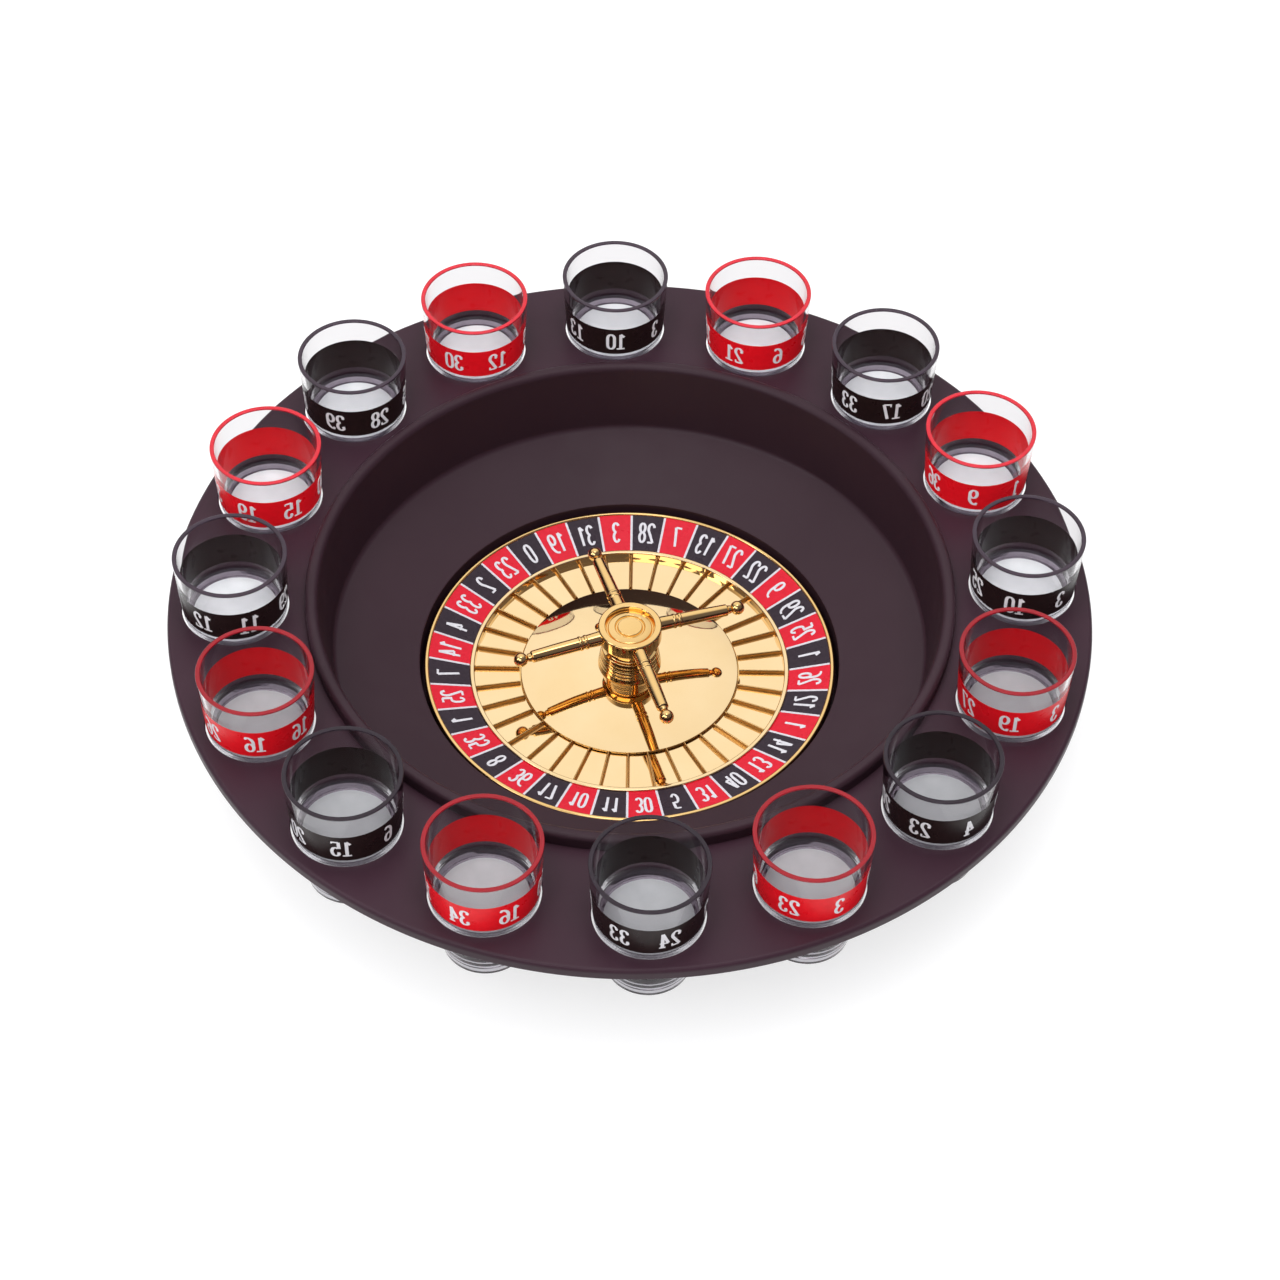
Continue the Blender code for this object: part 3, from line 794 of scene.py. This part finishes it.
def make_arms(gold):
    """Rods with a collar at the root and a shoulder before the ball on the tip."""
    for index in range(4):
        turn = Matrix.Rotation(math.radians(ARM_TURN + 90.0 * index), 4, "Z")
        root, tip = Vector((9.9 * MM, 0.0, -17.4 * MM)), Vector((33.6 * MM, 0.0, -18.5 * MM))
        along = (tip - root).to_track_quat("Z", "X").to_matrix().to_4x4()
        matrix = Matrix.Translation((0.0, 0.0, TOP)) @ turn @ Matrix.Translation(root) @ along
        length = (tip - root).length / MM
        rod = [
            (0.0, length + 0.5),
            (1.3, length + 0.5, 0.2),
            (1.45, length - 0.6, 0.2),
            (1.95, length - 1.0, 0.3),
            (2.15, length - 9.0, 0.5),
            (2.2, 7.2, 0.2),
            (2.4, 7.0, 0.2),
            (2.4, 6.4, 0.2),
            (2.1, 6.2, 0.2),
            (2.1, 5.4, 0.2),
            (2.4, 5.2, 0.2),
            (2.4, 4.6, 0.2),
            (2.2, 4.4, 0.2),
            (2.35, 0.0),
            (0.0, 0.0),
        ]
        turned(f"arm_{index + 1}", rod, 48, "wheel", gold, [f"turret_arm_{index + 1}"],
               closed=False, matrix=matrix, arc_steps=4)
        knob_low, knob_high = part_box(f"arm_knob_{index + 1}")
        centre = (knob_low + knob_high) / 2
        radius, rings = 2.3, 20
        slopes = [math.pi * i / rings for i in range(1, rings)]
        ball = [(radius * math.sin(slope), radius * math.cos(slope)) for slope in slopes]
        ball = [(0.0, radius), *ball, (0.0, -radius)]
        turned(f"ball_{index + 1}", ball, 40, "wheel", gold, [f"arm_knob_{index + 1}"],
               closed=False, matrix=Matrix.Translation(centre) @ turn @ along)


# ---------------------------------------------------------------- glasses

GLASS_RIM, GLASS_RIM_R, GLASS_SEAT_R = 22.8, 17.7, 16.35
GLASS_FLOOR, CORNER_TOP, GLASS_UNDER, GLASS_UNDER_R = -2.4, 0.5, -24.5, 13.0
# The cup's floor out to this radius is painted light: a milky grey for the bright floor seen through the
# base.
PAINTED_LIGHT_FLOOR_R = 13.65
CLEAR, INK, PAINTED_LIGHT_FLOOR, RIM_PAINTED_REFLECTION, PAINTED_SHADE_CORNER, BASE = range(6)  # the order of a glass's materials
BAND = (2.4, 14.0)
NUMBERS_PER_GLASS = 7
# The numbers round each glass, and the first one's angle in degrees from the front of the tray.
GLASS_PRINTS = (
    ("33 24 7 12 31 18 5", -31),
    ("23 3 17 28 10 35 6", -25),
    ("23 4 32 15 26 9 20", -24),
    ("19 3 36 11 30 8 27", -8),
    ("10 3 21 34 6 17 25", -15),
    ("36 9 1 24 13 2 29", -60),
    ("33 17 20 4 31 14 22", -44),
    ("21 6 35 12 28 7 16", -28),
    ("13 10 3 26 32 5 18", -50),
    ("30 12 9 27 1 34 23", -23),
    ("39 28 15 2 19 36 8", -18),
    ("19 15 30 7 22 11 33", -19),
    ("12 11 29 5 14 35 24", -29),
    ("26 16 16 3 31 20 9", -50),
    ("20 15 6 25 32 1 17", -52),
    ("34 16 10 23 8 28 13", -23),
)


def glass_radius(height):
    return GLASS_SEAT_R + (GLASS_RIM_R - GLASS_SEAT_R) * height / GLASS_RIM


def glass_mesh(name, clear, ink, painted_light_floor, rim, painted_shade_corner, base):
    """A thick-based glass with mould rings at its foot. Its outer wall is printed across the band."""
    outline = [
        (0.0, GLASS_FLOOR - 0.1),
        (PAINTED_LIGHT_FLOOR_R, GLASS_FLOOR),
        (14.8, GLASS_FLOOR, 1.1),
        (14.98, CORNER_TOP),
        (GLASS_RIM_R - 1.43, GLASS_RIM - 0.5),
        (GLASS_RIM_R - 1.4, GLASS_RIM, 0.45),
        (GLASS_RIM_R, GLASS_RIM, 0.45),
        (GLASS_RIM_R - 0.03, GLASS_RIM - 0.5),
        (glass_radius(BAND[1]), BAND[1]),
        (glass_radius(BAND[0]), BAND[0]),
        (GLASS_SEAT_R, 0.0, 8.0),
        (13.9, -16.4, 0.5),
        (13.6, -16.9, 0.3),
        (13.8, -17.4, 0.4),
        (13.62, -18.8, 0.4),
        (13.32, -19.2, 0.3),
        (13.48, -19.7, 0.4),
        (GLASS_UNDER_R - 0.1, GLASS_UNDER, 3.6),
        (9.2, GLASS_UNDER, 0.5),
        (8.6, GLASS_UNDER + 0.8, 0.6),
        (0.0, GLASS_UNDER + 1.0),
    ]

    def paint(upper, lower):
        height = (upper[1] + lower[1]) / 2
        outer = lower[1] < upper[1]
        # The floor's milky grey is painted light.
        if max(upper[0], lower[0]) < PAINTED_LIGHT_FLOOR_R + 0.05 and height > GLASS_FLOOR - 1.0:
            return PAINTED_LIGHT_FLOOR
        # The rim's tint is a painted reflection of the print.
        if height > GLASS_RIM - 0.5:
            return RIM_PAINTED_REFLECTION
        if height < GLASS_FLOOR - 1.5 or outer and height < BAND[0]:
            return BASE
        # The curve at the floor is tinted dark purple as painted shade.
        if lower[1] > upper[1] and height < CORNER_TOP:
            return PAINTED_SHADE_CORNER
        return INK if outer and BAND[0] < height < BAND[1] else CLEAR

    bm = bmesh.new()
    lathe(bm, rounded(outline, arc_steps=8), 128, paint=paint)
    return finish_mesh(name, bm, [clear, ink, painted_light_floor, rim, painted_shade_corner, base])


def make_glasses(white, looks):
    """looks has the materials of the black glasses, then of the red ones, in their order above.

    Returns the near and the far pieces, each for its own fill lights.
    """
    meshes = [glass_mesh(f"{name}_glass", *materials) for name, materials in zip(("black", "red"), looks)]
    shapes = {d: digit_shape(d, 0.34, 0.075, 0.042, True) for d in "0123456789"}
    middle = sum(BAND) / 2
    lit_by_fill = ([], [])
    for index, (numbers, first) in enumerate(GLASS_PRINTS):
        body = f"glass_{index + 1:02d}"
        centre = glass_centre(index)
        spot = (centre.x, centre.y, TOP)
        cup = place(f"{body}_cup", meshes[index % 2], body, [body], location=spot, weighted=False)
        lit_by_fill[index in FAR_GLASSES].append(cup)
        bm = bmesh.new()
        for order, text in enumerate(numbers.split()):
            angle = math.radians(first - 90.0 + order * 360.0 / NUMBERS_PER_GLASS)

            def wrap(across, up, out, angle=angle):
                radius = glass_radius(middle + up) + out
                return polar(radius, angle + across / radius, middle + up)

            add_number(bm, text, shapes, 2.75, 0.75, 6.75, 0.012, 0.05, wrap)
        mesh = finish_mesh(f"{body}_numerals", bm, [white])
        numerals = place(f"{body}_numerals", mesh, body, location=spot, weighted=False)
        lit_by_fill[index in FAR_GLASSES].append(numerals)
    return lit_by_fill


# ---------------------------------------------------------------- stage


def make_floor():
    bm = bmesh.new()
    bmesh.ops.create_grid(bm, x_segments=1, y_segments=1, size=6.0)
    surface = Surface("pale_floor", Specular_IOR_Level=0.2, Emission_Strength=0.72)
    surface.set("Emission Color", (1.0, 1.0, 1.0))
    surface.set("Base Color", surface.tones(surface.noise(3.0), (0.32, 0.32, 0.32), (0.33, 0.33, 0.33)))
    surface.set("Roughness", surface.span(surface.noise(40.0), 0.7, 0.8))
    mesh = finish_mesh("floor", bm, [surface.material])
    floor = bpy.data.objects.new("floor", mesh)
    bpy.context.scene.collection.objects.link(floor)


def make_light(name, size, power, location, aim, mirrored, only=()):
    """A softbox. Unless mirrored, no surface shows a picture of it. It may light only some pieces."""
    light = bpy.data.lights.new(name, "AREA")
    light.shape, light.size, light.size_y = "RECTANGLE", *size
    light.energy = power
    obj = bpy.data.objects.new(name, light)
    bpy.context.scene.collection.objects.link(obj)
    obj.location = location
    obj.rotation_euler = (Vector(aim) - Vector(location)).to_track_quat("-Z", "Y").to_euler()
    obj.visible_camera = False
    obj.visible_glossy = obj.visible_transmission = mirrored
    if only:
        receivers = bpy.data.collections.new(f"{name}_receivers")
        for piece in only:
            receivers.objects.link(piece)
        obj.light_linking.receiver_collection = receivers


def make_world():
    """A studio for the gold and glass to mirror: bright above and behind, dark and bluish in front."""
    world = bpy.data.worlds.new("studio")
    bpy.context.scene.world = world
    world.use_nodes = True
    tree = world.node_tree
    towards = tree.nodes.new("ShaderNodeVectorMath")
    towards.operation = "DOT_PRODUCT"
    towards.inputs[1].default_value = Vector((-0.1, 0.6, 0.8)).normalized()
    ramp = tree.nodes.new("ShaderNodeValToRGB")
    backdrop = tree.nodes.new("ShaderNodeBackground")
    backdrop.inputs["Color"].default_value = (1.0, 1.0, 1.0, 1.0)
    path = tree.nodes.new("ShaderNodeLightPath")
    mix = tree.nodes.new("ShaderNodeMixShader")
    studio = tree.nodes["Background"]
    studio.inputs["Strength"].default_value = 1.07
    tree.links.new(tree.nodes.new("ShaderNodeTexCoord").outputs["Generated"], towards.inputs[0])
    tree.links.new(towards.outputs["Value"], ramp.inputs["Fac"])
    tree.links.new(ramp.outputs["Color"], studio.inputs["Color"])
    tree.links.new(path.outputs["Is Camera Ray"], mix.inputs["Fac"])
    tree.links.new(studio.outputs[0], mix.inputs[1])
    tree.links.new(backdrop.outputs[0], mix.inputs[2])
    tree.links.new(mix.outputs[0], tree.nodes["World Output"].inputs["Surface"])
    stops = (
        (0.0, (0.13, 0.125, 0.16)),
        (0.60, (0.16, 0.155, 0.19)),
        (0.78, (0.68, 0.67, 0.68)),
        (0.90, (0.94, 0.94, 0.95)),
        (1.0, (1.0, 1.0, 1.0)),
    )
    elements = ramp.color_ramp.elements
    while len(elements) < len(stops):
        elements.new(0.5)
    for element, (position, colour) in zip(elements, stops):
        element.position, element.color = position, (*colour, 1.0)


def make_camera():
    camera = bpy.data.objects.new("camera", bpy.data.cameras.new("camera"))
    bpy.context.scene.collection.objects.link(camera)
    bpy.context.scene.camera = camera
    camera.data.lens, camera.data.sensor_width = LENS, 36.0
    camera.data.clip_start, camera.data.clip_end = 0.05, 30.0
    tilt = math.radians(CAMERA_ELEVATION)
    back = Vector((0.0, -math.cos(tilt), math.sin(tilt)))
    right, down = (math.radians(a) for a in CAMERA_TURN)
    facing = (-back).to_track_quat("-Z", "Y").to_matrix()
    roll = Matrix.Rotation(math.radians(CAMERA_ROLL), 3, "Z")
    turned_off = Matrix.Rotation(-down, 3, "X") @ Matrix.Rotation(-right, 3, "Y")
    orientation = facing @ roll @ turned_off
    position = Vector((0.0, 0.0, TOP)) + back * CAMERA_DISTANCE
    camera.matrix_world = Matrix.Translation(position) @ orientation.to_4x4()


def main():
    plastic = make_plastic("tray_plastic", (0.035, 0.0155, 0.024), (0.029, 0.0125, 0.0195))
    # The bowl is the tray's plastic made darker: painted shade for its recess.
    bowl_plastic_painted_shade = make_plastic("bowl_plastic_painted_shade", (0.029, 0.0138, 0.0195), (0.024, 0.011, 0.016))
    mirror = make_gold("mirror_gold", (0.97, 0.735, 0.42), (0.94, 0.69, 0.37), 0.035, 0.0)
    # The turned gold is the mirror gold made darker and deeper as painted shade; its rings and roughness are
    # real.
    gold = make_gold("turned_gold_painted_shade", (0.93, 0.63, 0.27), (0.88, 0.57, 0.22), 0.08, 0.05)
    # The satin gold is darker and deeper as painted shade; its roughness is real.
    satin = make_gold("satin_gold_painted_shade", (0.84, 0.52, 0.20), (0.76, 0.45, 0.16), 0.30, 0.0)
    red = make_print("red_print", (0.50, 0.011, 0.026), (0.45, 0.009, 0.021))
    black = make_print("black_print", (0.027, 0.018, 0.025), (0.021, 0.014, 0.020))
    silver = make_print("silver_line", (0.50, 0.485, 0.52), (0.44, 0.425, 0.46), coat=0.1)
    white = make_print("white_numeral", (0.52, 0.51, 0.545), (0.46, 0.45, 0.48))
    red_ink = make_print("red_ink", (0.61, 0.006, 0.012), (0.55, 0.005, 0.010))
    black_ink = make_print("black_ink", (0.013, 0.006, 0.006), (0.009, 0.0045, 0.0045))
    white_ink = make_print("white_ink", (0.62, 0.61, 0.63), (0.56, 0.55, 0.57))
    steel = make_metal("steel", (0.62, 0.62, 0.64), (0.5, 0.5, 0.52), 0.3)
    brass = make_metal("brass", (0.78, 0.6, 0.3), (0.68, 0.5, 0.24), 0.3)
    nylon = make_matt("nylon", (0.8, 0.8, 0.76), (0.74, 0.74, 0.7), 0.5, 900.0)
    rubber = make_matt("rubber", (0.028, 0.028, 0.028), (0.018, 0.018, 0.018), 0.75, 1500.0)

    make_tray(plastic)
    make_bowl(bowl_plastic_painted_shade)
    make_feet(rubber)
    make_axle(steel)
    make_plate(gold)
    make_trim(gold)
    make_number_ring(red, black, silver, white)
    make_pockets(mirror, satin)
    make_dome(mirror, satin)
    make_turret(gold)
    make_arms(gold)
    clear = make_clear_glass("clear_glass", (0.76, 0.75, 0.76), 1.22)
    base = make_clear_glass("base_glass", (0.62, 0.61, 0.65), 1.35)
    painted_light_floor, painted_shade_corner = make_painted_light_floor(), make_painted_shade_corner()
    # The rim tints are painted reflections of the print in clear glass.
    black_rim_painted_reflection = make_rim_painted_reflection("black_rim_painted_reflection", (0.020, 0.012, 0.019), (0.013, 0.008, 0.012))
    red_rim_painted_reflection = make_rim_painted_reflection("red_rim_painted_reflection", (0.27, 0.008, 0.016), (0.21, 0.006, 0.011))
    looks = [
        (clear, black_ink, painted_light_floor, black_rim_painted_reflection, painted_shade_corner, base),
        (clear, red_ink, painted_light_floor, red_rim_painted_reflection, painted_shade_corner, base),
    ]
    near_glasses, far_glasses = make_glasses(white_ink, looks)
    kept = {"spindle_nut": steel, "retaining_clip": steel, "thrust_washer": nylon, "hub_bush": brass}
    for node, material in kept.items():
        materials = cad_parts[node].data.materials
        materials.clear()
        materials.append(material)

    make_floor()
    make_world()
    make_light("overhead_softbox", (1.5, 1.5), 28.5, (0.0, -0.3, 1.4), (0.0, -0.2, 0.0), mirrored=False)
    make_light("zenith_lamp", (0.45, 0.45), 1.6, (0.0, 0.0, 1.5), (0.0, 0.0, 0.0), mirrored=True)
    make_light("left_strip", (0.25, 0.9), 2.2, (-0.9, -0.32, 0.72), (0.0, 0.0, 0.02), mirrored=True)
    make_light("front_panel", (0.85, 0.5), 2.6, (-0.35, -0.72, 0.89), (0.0, 0.0, 0.02), mirrored=True)
    make_light("far_fill", (0.5, 0.4), 5.4, (0.0, -0.5, 0.75), (0.0, 0.1, 0.05), False, far_glasses)
    make_light("far_top", (0.6, 0.5), 18.0, (0.0, 0.1, 0.9), (0.0, 0.1, 0.0), False, far_glasses)
    make_light("near_fill", (0.5, 0.4), 2.9, (0.0, -0.75, 0.6), (0.0, -0.1, 0.05), False, near_glasses)
    make_camera()
    bpy.context.scene.view_settings.view_transform = "Standard"


main()
